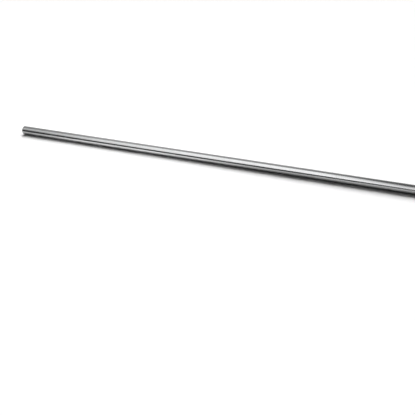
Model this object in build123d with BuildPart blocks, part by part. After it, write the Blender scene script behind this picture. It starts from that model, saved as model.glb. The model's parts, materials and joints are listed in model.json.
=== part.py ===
"""Fan shaft: a plain round bar of ground and polished steel, chamfered at both ends.

Blower and fan wheels, pulleys and bearings slide onto it from either end and are held
by their set screws, so the bar keeps one diameter from end to end.

Frame: millimetres, +X along the shaft, +Z up, origin on the axis at mid length.
"""

import os

from build123d import *

INCH = 25.4  # one inch, in millimetres

# Driving dimensions
shaft_diameter = 0.75 * INCH  # ground diameter that bearings and hubs slide over
shaft_length = 36 * INCH  # end face to end face
chamfer_leg = 0.0625 * INCH  # both legs of the 45 degree lead-in chamfer at each end
edge_break = 0.25  # radius that deburring leaves at the two corners of each chamfer

# The bar is half of its lengthwise section, turned round the axis that it stands on
with BuildPart() as shaft:
    with BuildSketch(Plane.XZ) as half_section:
        Rectangle(shaft_length, shaft_diameter / 2, align=(Align.CENTER, Align.MIN))
        end_corners = half_section.vertices().group_by(Axis.Y)[-1]
        chamfer(end_corners, length=chamfer_leg)
        chamfer_corners = half_section.vertices().sort_by(Axis.Y)[2:]  # not the two on the axis
        fillet(chamfer_corners, radius=edge_break)
    revolve(axis=Axis.X)
shaft.part.label = "shaft"

os.makedirs("parts", exist_ok=True)
export_step(shaft.part, "parts/shaft.step")
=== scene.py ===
"""Fan shaft: a ground and polished steel bar, laid on a white studio floor.

The bar is a surface of revolution, worked out as whole arrays: a lengthwise profile of end
faces, chamfers, broken edges and ground diameter, carried round the bar's axis. Its finish
is procedural: grinding marks round the diameter, turned marks on the ends, and faint wear.
"""

import json
from collections import namedtuple

import bpy
import numpy as np
from bpy.props import FloatProperty, FloatVectorProperty, IntProperty, PointerProperty
from mathutils import Matrix, Vector


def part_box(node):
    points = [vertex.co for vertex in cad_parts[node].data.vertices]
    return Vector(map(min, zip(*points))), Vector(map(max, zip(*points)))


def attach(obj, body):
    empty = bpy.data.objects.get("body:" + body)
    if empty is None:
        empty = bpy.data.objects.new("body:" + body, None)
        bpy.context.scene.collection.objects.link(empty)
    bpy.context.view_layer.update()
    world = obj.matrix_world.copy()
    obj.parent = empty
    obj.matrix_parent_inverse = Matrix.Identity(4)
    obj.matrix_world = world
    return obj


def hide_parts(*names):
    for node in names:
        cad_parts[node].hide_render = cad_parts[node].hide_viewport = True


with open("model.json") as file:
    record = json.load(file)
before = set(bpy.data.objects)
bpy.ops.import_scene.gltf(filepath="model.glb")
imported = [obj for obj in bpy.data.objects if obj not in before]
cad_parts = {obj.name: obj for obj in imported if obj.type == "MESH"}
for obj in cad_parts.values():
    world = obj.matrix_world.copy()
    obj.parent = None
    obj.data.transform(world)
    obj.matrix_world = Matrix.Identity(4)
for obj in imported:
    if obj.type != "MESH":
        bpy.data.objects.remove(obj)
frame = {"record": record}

bl_info = {
    "name": "Fan Shaft",
    "version": (1, 0, 0),
    "blender": (4, 5, 0),
    "location": "View3D > Sidebar > Shaft",
    "description": "Makes a ground and polished fan shaft and the studio round it",
    "category": "Add Mesh",
}

MM = 0.001  # one millimetre, in metres
RECORD = frame["record"]
MOUNTS = {mount["name"]: mount for mount in RECORD["mounts"]}
STEEL = {material["slot"]: material for material in RECORD["materials"]}["bright_steel"]
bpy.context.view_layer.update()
SHAFT_LOW, SHAFT_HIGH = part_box("shaft")


class ShaftSizes(bpy.types.PropertyGroup):
    """Sizes of the bar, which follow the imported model."""

    radius: FloatProperty(
        name="Radius",
        description="Radius of the ground diameter",
        default=MOUNTS["journal"]["dims"]["r_mm"] * MM,
        subtype="DISTANCE",
    )
    length: FloatProperty(
        name="Length",
        description="Distance from end face to end face",
        default=SHAFT_HIGH[0] - SHAFT_LOW[0],
        subtype="DISTANCE",
    )
    chamfer: FloatProperty(
        name="Chamfer",
        description="Both legs of the 45 degree chamfer on each end",
        default=1.5875 * MM,
        subtype="DISTANCE",
    )
    edge_break: FloatProperty(
        name="Edge break",
        description="Radius that deburring leaves at the two corners of each chamfer",
        default=0.25 * MM,
        subtype="DISTANCE",
    )
    facets: IntProperty(
        name="Facets",
        description="Number of facets round the bar",
        default=160,
        min=12,
    )


class SteelFinish(bpy.types.PropertyGroup):
    """Colour, polish and tool marks of the bare steel."""

    colour: FloatVectorProperty(
        name="Colour",
        description="Colour of the bare steel",
        default=STEEL["base_color"],
        subtype="COLOR",
        size=3,
        min=0.0,
        max=1.0,
    )
    roughness: FloatProperty(
        name="Roughness",
        description="Roughness of the polished diameter where it is cleanest",
        default=0.13,
        min=0.0,
        max=1.0,
    )
    smudge: FloatProperty(
        name="Smudge",
        description="Roughness that handling adds in faint patches",
        default=0.10,
        min=0.0,
        max=1.0,
    )
    end_roughness: FloatProperty(
        name="End roughness",
        description="Roughness of the turned end faces and chamfers",
        default=0.30,
        min=0.0,
        max=1.0,
    )
    mottle: FloatProperty(
        name="Mottle",
        description="Share of the colour that grinding marks and patches darken it by",
        default=0.06,
        min=0.0,
        max=1.0,
    )
    mark_depth: FloatProperty(
        name="Mark depth",
        description="Scale of the depths of all tool marks",
        default=1.0,
        min=0.0,
    )


class StudioSettings(bpy.types.PropertyGroup):
    """Camera, lamps and reflecting cards round the bar."""

    azimuth: FloatProperty(
        name="Azimuth",
        description="Angle of the camera round the bar from the front",
        default=np.radians(17.42),
        subtype="ANGLE",
    )
    elevation: FloatProperty(
        name="Elevation",
        description="Angle of the camera above the horizon",
        default=np.radians(35.0),
        subtype="ANGLE",
    )
    camera_place: FloatVectorProperty(
        name="Camera place",
        description="Where the camera stands",
        default=(0.2699, -0.8620, 0.5034),
        subtype="TRANSLATION",
        size=3,
    )
    focal_length: FloatProperty(
        name="Focal length",
        description="Focal length in millimetres on a sensor 36 mm wide",
        default=41.64,
    )
    tent_reach: FloatProperty(
        name="Tent reach",
        description="Distance from the bar's axis to the cards of the tent",
        default=1.6,
        subtype="DISTANCE",
    )
    lamp_strength: FloatProperty(
        name="Lamp strength",
        description="Strength of each lamp of the overhead row",
        default=0.56,
    )
    sky_strength: FloatProperty(
        name="Sky strength",
        description="Strength of the even light from all round",
        default=0.06,
    )


# A ring of the bar: its place along the axis, its radius, the angle of the surface's normal
# from the axis, and how far it is turned as the ends are (1) or ground as the diameter is (0).
Profile = namedtuple("Profile", "x r lean turned")
FACE_RINGS = np.array([0.0, 0.3, 0.6, 0.9])  # of each end face, as shares of its radius
BARREL_RINGS = np.array([-0.75, -0.5, -0.25])  # of the diameter's left half, as shares of it
BREAK_STEPS = 9  # rings of each broken edge


def shaft_profile(radius, half_length, chamfer, edge_break):
    """Rings of the bar, from the left face's middle to the right one's.

    Each broken edge is an eighth of a circle of radius edge_break. It touches the two lines
    that it joins at edge_break times the tangent of 22.5 degrees from their corner. The right
    half is the left one mirrored. Three of the diameter's rings are where its map is cut.
    """
    face, bevel, barrel = np.pi, 3 * np.pi / 4, np.pi / 2  # the normals' angles on the three lines
    reach = edge_break * np.tan(np.pi / 8)
    face_rim = radius - chamfer - reach
    face_lean = np.linspace(face, bevel, BREAK_STEPS)
    shoulder_lean = np.linspace(bevel, barrel, BREAK_STEPS)
    x = [
        np.full(FACE_RINGS.size, -half_length),
        -half_length + edge_break * (1 + np.cos(face_lean)),
        -half_length + chamfer + reach + edge_break * np.cos(shoulder_lean),
        BARREL_RINGS * half_length,
    ]
    r = [
        FACE_RINGS * face_rim,
        face_rim + edge_break * np.sin(face_lean),
        radius - edge_break + edge_break * np.sin(shoulder_lean),
        np.full(BARREL_RINGS.size, radius),
    ]
    lean = [
        np.full(FACE_RINGS.size, face),
        face_lean,
        shoulder_lean,
        np.full(BARREL_RINGS.size, barrel),
    ]
    x, r, lean = np.concatenate(x), np.concatenate(r), np.concatenate(lean)
    turned = np.clip((lean - barrel) / (bevel - barrel), 0, 1)
    return Profile(
        np.concatenate([x, [0.0], -x[::-1]]),
        np.concatenate([r, [radius], r[::-1]]),
        np.concatenate([lean, [barrel], np.pi - lean[::-1]]),
        np.concatenate([turned, [0.0], turned[::-1]]),
    )


MAP_SCALE = 3.6  # of the flattened surface, per metre
MAP_MARGIN = 0.01  # round the strips
MAP_STRIPS = 4  # lengths that the diameter is cut into
CAP_U = 0.92  # where the flattened ends lie on the map
CAP_V = (0.10, 0.30)


def flat_map(profile, facets):
    """Map coordinates of every corner of every quad: quads by ring, then facet, then corner.

    The diameter is unrolled in strips, one above another. u is the distance along the strip and v
    the distance round the bar. Each end is a disc, whose radius is the distance along the profile
    from the middle of the face.
    """
    on_barrel = np.flatnonzero(np.isclose(profile.lean, np.pi / 2))
    start, stop = on_barrel[0], on_barrel[-1]
    steps = np.hypot(np.diff(profile.x), np.diff(profile.r))
    travel = np.concatenate([[0.0], np.cumsum(steps)])
    half_length, radius = profile.x[-1], profile.r[start]
    first = np.arange(profile.x.size - 1)[:, None, None]
    facet = np.arange(facets)[None, :, None]
    ring, turn = np.broadcast_arrays(first + np.array([0, 0, 1, 1]), facet + np.array([0, 1, 1, 0]))
    angle = turn * (2 * np.pi / facets)

    middle = (profile.x[first] + profile.x[first + 1]) / 2
    strip = np.floor((middle / half_length + 1) / 2 * MAP_STRIPS)
    strip = np.clip(strip, 0, MAP_STRIPS - 1)
    strip_start = (strip * 2 / MAP_STRIPS - 1) * half_length
    strip_pitch = 2 * np.pi * radius * MAP_SCALE + MAP_MARGIN
    u_barrel = MAP_MARGIN + (profile.x[ring] - strip_start) * MAP_SCALE
    v_barrel = MAP_MARGIN + strip * strip_pitch + angle * radius * MAP_SCALE

    on_right = first >= stop
    spread = np.where(on_right, travel[-1] - travel[ring], travel[ring]) * MAP_SCALE
    u_cap = CAP_U + spread * np.cos(angle)
    v_cap = np.where(on_right, CAP_V[1], CAP_V[0]) + spread * np.sin(angle)
    rolled = (first >= start) & (first < stop)
    return np.stack([np.where(rolled, u_barrel, u_cap), np.where(rolled, v_barrel, v_cap)], -1)


def store(mesh, name, values):
    """Stores a number at each point of a mesh, for its material to read under this name."""
    layer = mesh.attributes.new(name, "FLOAT", "POINT")
    layer.data.foreach_set("value", values.astype(np.float32).ravel())


WEAR_POWER = 4  # how squarely the wear stops at a broken edge's two sides


def turned_mesh(name, profile, facets):
    """Carries a profile round the X axis.

    Ring i, facet j is at (x[i], r[i] cos, r[i] sin) of the angle 2 pi j / facets, and its normal
    is (cos lean[i], sin lean[i] cos, sin lean[i] sin). The first and last rings have no radius
    and become poles. The stored "edge" is 1 on a broken edge where it is half turned, and falls
    to 0 on both sides.
    """
    angle = np.arange(facets) * (2 * np.pi / facets)
    round_bar = np.stack([np.ones(facets), np.cos(angle), np.sin(angle)], -1)
    places = np.stack([profile.x, profile.r, profile.r], -1)[:, None, :] * round_bar
    along, outward = np.cos(profile.lean), np.sin(profile.lean)
    normals = np.stack([along, outward, outward], -1)[:, None, :] * round_bar
    last = profile.x.size - 1

    here = np.arange(facets)
    beside = (here + 1) % facets
    row = np.arange(last - 2)[:, None] * facets + 1
    quads = np.stack([row + here, row + beside, row + facets + beside, row + facets + here], -1)
    left_fan = np.stack([np.zeros(facets, int), beside + 1, here + 1], -1)
    right_pole = (last - 1) * facets + 1
    right_ring = (last - 2) * facets + 1
    right_fan = np.stack([right_ring + here, right_ring + beside, np.full(facets, right_pole)], -1)

    def by_vertex(values):
        """Turns values by ring and facet into values by vertex, with one for each pole."""
        inner = values[1:-1].reshape(-1, *values.shape[2:])
        return np.concatenate([values[:1, 0], inner, values[-1:, 0]])

    mesh = bpy.data.meshes.new(name)
    faces = quads.reshape(-1, 4).tolist() + left_fan.tolist() + right_fan.tolist()
    mesh.from_pydata(by_vertex(places).tolist(), [], faces)
    mesh.shade_smooth()

    flat = flat_map(profile, facets)
    corners = [flat[1:-1], flat[0][:, [0, 2, 3]], flat[-1][:, [0, 1, 2]]]
    corners = np.concatenate([part.reshape(-1, 2) for part in corners])
    layer = mesh.uv_layers.new(name="OFBake")
    layer.data.foreach_set("uv", corners.astype(np.float32).ravel())

    turned = np.repeat(profile.turned[:, None], facets, axis=1)
    store(mesh, "turned", by_vertex(turned))
    store(mesh, "edge", by_vertex(1 - np.abs(2 * turned - 1) ** WEAR_POWER))
    mesh.normals_split_custom_set_from_vertices(by_vertex(normals).tolist())
    mesh.update()
    return mesh


def link_object(name, data):
    """Puts a new object with this data into the scene, at the origin."""
    made = bpy.data.objects.new(name, data)
    bpy.context.scene.collection.objects.link(made)
    return made


def add_node(tree, kind, inputs=None, **settings):
    """Adds a node with its settings, and fills its inputs with values or links."""
    made = tree.nodes.new(kind)
    for name, value in settings.items():
        setattr(made, name, value)
    for key, value in (inputs or {}).items():
        if isinstance(value, bpy.types.NodeSocket):
            tree.links.new(value, made.inputs[key])
        else:
            made.inputs[key].default_value = value
    return made


def arithmetic(tree, operation, *terms):
    """Socket with the result of a Math node's operation on numbers or sockets."""
    inputs = dict(enumerate(terms))
    return add_node(tree, "ShaderNodeMath", inputs, operation=operation).outputs[0]


def between(tree, share, first, second):
    """Socket that runs from the first number to the second as share runs from 0 to 1."""
    inputs = {0: share, 2: first, 3: second}
    return add_node(tree, "ShaderNodeMix", inputs, data_type="FLOAT").outputs[0]


def fade(tree, value, span, low=0.0, high=1.0, **settings):
    """Socket that runs from low to high as value runs over the span, and stops at its ends."""
    start, end = span
    inputs = {"Value": value, "From Min": start, "From Max": end, "To Min": low, "To Max": high}
    return add_node(tree, "ShaderNodeMapRange", inputs, **settings).outputs[0]


def stored(tree, name):
    """Socket with the number that the mesh stores under this name."""
    return add_node(tree, "ShaderNodeAttribute", attribute_name=name).outputs["Fac"]


WAVE_PHASE = 20  # radians that a Wave texture of scale 1 gains over one metre


def streaks(tree, place, along, around, detail):
    """Noise from 0 to 1 whose grain is as long as along in the bar's direction and around across it."""
    stretch = {0: place, 1: (1 / along, 1 / around, 1 / around)}
    scaled = add_node(tree, "ShaderNodeVectorMath", stretch, operation="MULTIPLY").outputs[0]
    inputs = {"Vector": scaled, "Scale": 1.0, "Detail": detail}
    return add_node(tree, "ShaderNodeTexNoise", inputs).outputs["Fac"]


def rings(tree, place, pitch):
    """Sine wave from 0 to 1 of the distance from the bar's axis, which repeats after pitch."""
    inputs = {"Vector": place, "Scale": 2 * np.pi / (WAVE_PHASE * pitch), "Distortion": 0.0}
    settings = {"wave_type": "RINGS", "rings_direction": "X"}
    return add_node(tree, "ShaderNodeTexWave", inputs, **settings).outputs["Fac"]


# Marks on the diameter: their width along the bar, their length round it and the depth between
# their crest and bottom, in metres.
Mark = namedtuple("Mark", "width length depth")
GRIND_MARKS = [
    Mark(0.35 * MM, 14 * MM, 0.0055 * MM),
    Mark(1.6 * MM, 30 * MM, 0.0090 * MM),
    Mark(9.0 * MM, 60 * MM, 0.0120 * MM),
]
SCRATCH = Mark(60 * MM, 0.5 * MM, 0.0015 * MM)  # left along the bar by sliding hubs and hands
TURN_PITCH = (0.35 * MM, 1.3 * MM)  # of the turned marks on the ends
TURN_DEPTH = (0.0080 * MM, 0.0140 * MM)
PATCH = (32 * MM, 16 * MM)  # size of the smudges, along the bar and across it
GRIND_DETAIL, SCRATCH_DETAIL, PATCH_DETAIL = 2.0, 1.0, 4.0  # finer octaves in each noise
SMUDGE_SPAN = (0.45, 0.75)  # of the patches' noise, from clean to smudged
COARSE_SPAN = (0.6, 1.4)  # of two marks' noises added up, from smooth to rough
TONE_SPAN = (1.0, 2.0)  # of these and the patches added up, from pale to dark
EDGE_ROUGHNESS = -0.06  # worn edges are smoother


def mark_heights(tree, place, turned, grinding):
    """Socket with the height of the tool marks, in metres: ground, scratched or turned."""
    scratches = streaks(tree, place, SCRATCH.width, SCRATCH.length, SCRATCH_DETAIL)
    ground = arithmetic(tree, "MULTIPLY", scratches, SCRATCH.depth)
    for mark, noise in zip(GRIND_MARKS, grinding):
        ground = arithmetic(tree, "MULTIPLY_ADD", noise, mark.depth, ground)
    faced = arithmetic(tree, "MULTIPLY", rings(tree, place, TURN_PITCH[0]), TURN_DEPTH[0])
    faced = arithmetic(tree, "MULTIPLY_ADD", rings(tree, place, TURN_PITCH[1]), TURN_DEPTH[1], faced)
    return between(tree, turned, ground, faced)


def bright_steel(finish):
    """Bare steel, ground round the diameter and turned on the ends, with faint smudges."""
    material = bpy.data.materials.new("bright_steel")
    material.use_nodes = True
    tree = material.node_tree
    shader = tree.nodes["Principled BSDF"]
    shader.inputs["Metallic"].default_value = 1.0
    place = add_node(tree, "ShaderNodeTexCoord").outputs["Object"]
    turned = stored(tree, "turned")

    grinding = [streaks(tree, place, mark.width, mark.length, GRIND_DETAIL) for mark in GRIND_MARKS]
    patches = streaks(tree, place, *PATCH, PATCH_DETAIL)
    coarse = arithmetic(tree, "ADD", *grinding[1:])
    height = mark_heights(tree, place, turned, grinding)
    marks = {"Height": height, "Distance": finish.mark_depth, "Strength": 1.0}
    bump = add_node(tree, "ShaderNodeBump", marks).outputs[0]
    tree.links.new(bump, shader.inputs["Normal"])

    smudges = fade(tree, patches, SMUDGE_SPAN, interpolation_type="SMOOTHSTEP")
    rubbed = finish.roughness + finish.smudge / 2
    ground = fade(tree, coarse, COARSE_SPAN, finish.roughness, rubbed)
    ground = arithmetic(tree, "MULTIPLY_ADD", smudges, finish.smudge, ground)
    roughness = between(tree, turned, ground, finish.end_roughness)
    roughness = arithmetic(tree, "MULTIPLY_ADD", stored(tree, "edge"), EDGE_ROUGHNESS, roughness)
    tree.links.new(roughness, shader.inputs["Roughness"])

    tone = fade(tree, arithmetic(tree, "ADD", coarse, patches), TONE_SPAN)
    pale = (*finish.colour, 1.0)
    dark = (*(channel * (1 - finish.mottle) for channel in finish.colour), 1.0)
    tones = {0: tone, 6: pale, 7: dark}
    colour = add_node(tree, "ShaderNodeMix", tones, data_type="RGBA").outputs[2]
    tree.links.new(colour, shader.inputs["Base Color"])
    return material


class MESH_OT_ground_shaft(bpy.types.Operator):
    """Make the ground bar and give it its steel finish"""

    bl_idname = "mesh.ground_shaft"
    bl_label = "Ground Shaft"

    def execute(self, context):
        sizes = context.scene.shaft_sizes
        profile = shaft_profile(sizes.radius, sizes.length / 2, sizes.chamfer, sizes.edge_break)
        shaft = link_object("ground_shaft", turned_mesh("ground_shaft", profile, sizes.facets))
        shaft.data.materials.append(bright_steel(context.scene.steel_finish))
        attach(shaft, "root")
        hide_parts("shaft")
        return {"FINISHED"}


def sheet(name, points, label, values):
    """Object that is a grid of points, by column and row, each with a number stored under label."""
    columns, rows = points.shape[:2]
    column, row = np.meshgrid(np.arange(columns - 1), np.arange(rows - 1), indexing="ij")
    corner = (column * rows + row).ravel()
    faces = np.stack([corner, corner + 1, corner + rows + 1, corner + rows], -1)
    mesh = bpy.data.meshes.new(name)
    mesh.from_pydata(points.reshape(-1, 3).tolist(), [], faces.tolist())
    store(mesh, label, values)
    return link_object(name, mesh)


def one_shader(name, kind):
    """New material whose surface is a single shader of this kind, and the shader."""
    material = bpy.data.materials.new(name)
    material.use_nodes = True
    tree = material.node_tree
    tree.nodes.remove(tree.nodes["Principled BSDF"])
    shader = add_node(tree, kind)
    tree.links.new(shader.outputs[0], tree.nodes["Material Output"].inputs["Surface"])
    return material, shader


HALF_A_BOUNCE = 0.5


def first_hand(tree):
    """Socket that is 1 for what the eye and its mirrored rays see, and 0 for what the floor gathers."""
    bounces = add_node(tree, "ShaderNodeLightPath").outputs["Diffuse Depth"]
    return arithmetic(tree, "LESS_THAN", bounces, HALF_A_BOUNCE)


FLOOR_SIDE = 40.0  # side of the square floor
FLOOR_WHITE = 1.04  # seen by the camera: just white where nothing shades it
FLOOR_PLAIN = 0.8  # what lights the rest of the scene

# The floor's painted reflection: the colour that the steel mirrors of the floor, at places along the
# bar in metres, near the bar and beyond it.
# It paints bright and dark reflected bands into the steel, while the camera sees the floor evenly
# white.
PaintedReflection = namedtuple("PaintedReflection", "along near beyond")
PAINTED_REFLECTION = [
    PaintedReflection(-0.46, 0.55, 0.0),
    PaintedReflection(-0.33, 0.98, 0.0),
    PaintedReflection(-0.13, 1.08, 0.0),
    PaintedReflection(0.00, 0.83, 0.0),
    PaintedReflection(0.15, 0.50, 0.3),
    PaintedReflection(0.25, 0.52, 0.6),
    PaintedReflection(0.42, 0.42, 0.7),
]
PAINTED_REFLECTION_FADE = (4.0, 9.5)  # bar radii from the bar over which the painted reflection turns from its near value to its beyond value


def studio_floor(radius):
    """White floor that the bar lies on, a square round the origin, evenly white to the camera.

    Rays mirrored by the steel see a painted reflection in its place, bright near the bar and dark
    beyond it. It is a grid with a line of points at each station of the painted reflection's table, so
    that the painted reflection runs straight from station to station, and from the first fade distance
    to the last.
    """
    corner = FLOOR_SIDE / 2
    start, end = (distance * radius for distance in PAINTED_REFLECTION_FADE)
    stations, near, beyond = zip(*PAINTED_REFLECTION)
    along = np.array([-corner, *stations, corner])
    across = np.array([corner, end, start, -start, -end, -corner])
    painted_beyond_share = np.array([1.0, 1.0, 0.0, 0.0, 1.0, 1.0])
    near, beyond = (np.interp(along, stations, row)[:, None] for row in (near, beyond))
    x, y = np.meshgrid(along, across, indexing="ij")
    points = np.stack([x, y, np.full(x.shape, -radius)], -1)
    # The stored "mirrored" value is a painted reflection: the colour the steel mirrors of the floor,
    # not the floor's own colour.
    floor = sheet("studio_floor", points, "mirrored", near + (beyond - near) * painted_beyond_share)

    material, shader = one_shader("white_floor", "ShaderNodeBsdfDiffuse")
    tree = material.node_tree
    rays = add_node(tree, "ShaderNodeLightPath").outputs
    # Rays mirrored by the steel see the painted reflection, the camera sees the floor evenly white, and
    # all other rays see its plain colour.
    in_steel = arithmetic(tree, "MULTIPLY", rays["Is Glossy Ray"], first_hand(tree))
    plain_or_painted_reflection = between(tree, in_steel, FLOOR_PLAIN, stored(tree, "mirrored"))
    white = between(tree, rays["Is Camera Ray"], plain_or_painted_reflection, FLOOR_WHITE)
    tree.links.new(white, shader.inputs["Color"])
    floor.data.materials.append(material)


# The tent round the bar, at places along it in metres. low and high are the section angles, from
# the front horizon over the top, between which the overhead softbox hangs. near and far are its
# glow at those edges. front is the glow of the curtain before it. back and wall are the glow of
# the curtain behind it, at its top and at the back horizon.
Station = namedtuple("Station", "along low high front near far back wall")
TENT = [
    Station(-6.0, 36, 87, 0.04, 0.33, 0.82, 0.27, 0.50),
    Station(-1.5, 36, 87, 0.04, 0.33, 0.82, 0.27, 0.50),
    Station(-1.1, 28, 90, 0.08, 0.83, 1.20, 0.48, 0.60),
    Station(-0.6, 26, 101, 0.05, 1.20, 1.32, 0.40, 0.60),
    Station(-0.1, 28, 98, 0.02, 1.22, 1.48, 0.38, 0.55),
    Station(0.3, 31, 103, 0.05, 1.52, 1.12, 0.18, 0.50),
    Station(0.6, 33, 95, 0.21, 1.28, 0.24, 0.03, 0.30),
    Station(6.0, 33, 95, 0.21, 1.28, 0.24, 0.03, 0.30),
]
FRONT_FOOT, BACK_FOOT = -2.0, 182.0  # section angles where the curtains end, just under the floor
CARD_COLUMNS, CARD_ROWS = 241, 25


def tent_card(name, reach, cloth, low, high, near, far):
    """A card of the tent that only mirrors see.

    It is a sheet on the cylinder of radius reach round the bar's axis, at (along, -reach cos,
    reach sin) of the section angle. Its edges and its glow run straight from station to station,
    and the glow also runs straight from its low edge to its high one. An edge or a glow is the
    name of the stations' value, or one number for all of them.
    """
    stations = [station.along for station in TENT]
    along = np.linspace(stations[0], stations[-1], CARD_COLUMNS)

    def by_column(value):
        """The value at each column of the card."""
        row = [getattr(station, value) if isinstance(value, str) else value for station in TENT]
        return np.interp(along, stations, row)[:, None]

    low, high, near, far = (by_column(value) for value in (low, high, near, far))
    rise = np.linspace(0.0, 1.0, CARD_ROWS)
    angle = np.radians(low + (high - low) * rise)
    x = np.repeat(along[:, None], CARD_ROWS, axis=1)
    points = np.stack([x, -reach * np.cos(angle), reach * np.sin(angle)], -1)
    card = sheet(name, points, "glow", near + (far - near) * rise)
    card.data.materials.append(cloth)
    card.visible_camera = False
    card.visible_diffuse = False
    card.visible_shadow = False
    card.visible_transmission = False


def glowing_cloth():
    """White cloth that shines as brightly as the card's glow says."""
    material, shader = one_shader("glowing_cloth", "ShaderNodeEmission")
    tree = material.node_tree
    strength = arithmetic(tree, "MULTIPLY", stored(tree, "glow"), first_hand(tree))
    tree.links.new(strength, shader.inputs["Strength"])
    return material


def reflecting_tent(reach):
    """Front curtain, overhead softbox and back curtain, edge to edge round the bar."""
    cloth = glowing_cloth()
    tent_card("front_curtain", reach, cloth, FRONT_FOOT, "low", "front", "front")
    tent_card("overhead_softbox", reach, cloth, "low", "high", "near", "far")
    tent_card("back_curtain", reach, cloth, "high", BACK_FOOT, "back", "wall")


def studio_world(scene, sky_strength):
    """Even white light, full white where the camera, mirrors and glass see it."""
    world = bpy.data.worlds.new("studio")
    scene.world = world
    world.use_nodes = True
    tree = world.node_tree
    background = tree.nodes["Background"]
    background.inputs["Color"].default_value = (1, 1, 1, 1)
    rays = add_node(tree, "ShaderNodeLightPath").outputs
    seen = arithmetic(tree, "MAXIMUM", rays["Is Camera Ray"], rays["Is Glossy Ray"])
    seen = arithmetic(tree, "MAXIMUM", seen, rays["Is Transmission Ray"])
    shown = arithmetic(tree, "MULTIPLY", seen, first_hand(tree))
    strength = fade(tree, shown, (0.0, 1.0), sky_strength)
    tree.links.new(strength, background.inputs["Strength"])


def hidden_lamp(name, kind, power):
    """New lamp that mirrors don't see."""
    light = bpy.data.lights.new(name, kind)
    light.energy = power
    lamp = link_object(name, light)
    lamp.visible_glossy = False
    return lamp


LAMP_COUNT = 7
LAMP_LEANS = np.linspace(19.0, 60.0, LAMP_COUNT)  # degrees behind the zenith
LAMP_SLANTS = np.linspace(32.0, -4.0, LAMP_COUNT)  # degrees towards the bar's right end
LAMP_ANGLE = 7.5  # degrees across each lamp


def overhead_lamps(strength, azimuth):
    """A row of lamps from over the bar's right to far behind it, away from the camera.

    The first leans towards the bar's right end, and the last stands nearly straight away from
    the camera, so the shadow ends square at the bar's left end.
    """
    for index, (lean, slant) in enumerate(np.radians(np.stack([LAMP_LEANS, LAMP_SLANTS], -1))):
        lamp = hidden_lamp(f"overhead_{index}", "SUN", strength)
        lamp.data.angle = np.radians(LAMP_ANGLE)
        aside = np.tan(slant) * np.cos(lean) - np.sin(azimuth) * np.sin(lean)
        place = Vector((aside, np.cos(azimuth) * np.sin(lean), np.cos(lean)))
        lamp.rotation_euler = place.to_track_quat("Z", "Y").to_euler()


# Soft lamps close over the bar: their places along it, their heights over its axis and their powers
LowLamp = namedtuple("LowLamp", "along height power")
LOW_LAMPS = [LowLamp(-0.46, 0.46, 0.24), LowLamp(-0.15, 0.39, 0.31)]
LOW_LAMP_LENGTH = 0.10  # along the bar
LOW_LAMP_SPREAD = 0.48  # width across the bar, as a share of the height


def low_lamps():
    """Lamps turned down to the floor, which fill the shadow of the bar's left half."""
    for index, place in enumerate(LOW_LAMPS):
        lamp = hidden_lamp(f"low_{index}", "AREA", place.power)
        lamp.data.shape = "RECTANGLE"
        lamp.data.size = LOW_LAMP_LENGTH
        lamp.data.size_y = place.height * LOW_LAMP_SPREAD
        lamp.location = (place.along, 0.0, place.height)


SENSOR_WIDTH = 36.0  # millimetres


def studio_camera(studio):
    """Camera at the photograph's viewing angle."""
    data = bpy.data.cameras.new("camera")
    data.sensor_width = SENSOR_WIDTH
    data.lens = studio.focal_length
    camera = link_object("camera", data)
    aside, forward = np.sin(studio.azimuth), np.cos(studio.azimuth)
    level, rise = np.cos(studio.elevation), np.sin(studio.elevation)
    back = Vector((aside * level, -forward * level, rise))
    turn = back.to_track_quat("Z", "Y").to_matrix().to_4x4()
    camera.matrix_world = Matrix.Translation(studio.camera_place) @ turn
    bpy.context.scene.camera = camera


class SCENE_OT_shaft_studio(bpy.types.Operator):
    """Lay out the floor, the reflecting tent, the lamps and the camera"""

    bl_idname = "scene.shaft_studio"
    bl_label = "Studio"

    def execute(self, context):
        scene = context.scene
        studio = scene.shaft_studio
        scene.view_settings.view_transform = "Standard"
        studio_floor(scene.shaft_sizes.radius)
        reflecting_tent(studio.tent_reach)
        studio_world(scene, studio.sky_strength)
        overhead_lamps(studio.lamp_strength, studio.azimuth)
        low_lamps()
        studio_camera(studio)
        return {"FINISHED"}


class VIEW3D_PT_fan_shaft(bpy.types.Panel):
    """Sizes, finish and studio of the fan shaft"""

    bl_label = "Fan Shaft"
    bl_space_type = "VIEW_3D"
    bl_region_type = "UI"
    bl_category = "Shaft"

    def draw(self, context):
        scene = context.scene
        for settings in (scene.shaft_sizes, scene.steel_finish, scene.shaft_studio):
            column = self.layout.column()
            for name in settings.__annotations__:
                column.prop(settings, name)
        self.layout.operator(MESH_OT_ground_shaft.bl_idname)
        self.layout.operator(SCENE_OT_shaft_studio.bl_idname)


CLASSES = (
    ShaftSizes,
    SteelFinish,
    StudioSettings,
    MESH_OT_ground_shaft,
    SCENE_OT_shaft_studio,
    VIEW3D_PT_fan_shaft,
)


def register():
    for kind in CLASSES:
        bpy.utils.register_class(kind)
    bpy.types.Scene.shaft_sizes = PointerProperty(type=ShaftSizes)
    bpy.types.Scene.steel_finish = PointerProperty(type=SteelFinish)
    bpy.types.Scene.shaft_studio = PointerProperty(type=StudioSettings)


def unregister():
    del bpy.types.Scene.shaft_studio
    del bpy.types.Scene.steel_finish
    del bpy.types.Scene.shaft_sizes
    for kind in reversed(CLASSES):
        bpy.utils.unregister_class(kind)


def main():
    register()
    bpy.ops.mesh.ground_shaft()
    bpy.ops.scene.shaft_studio()


if __name__ == "__main__":
    main()
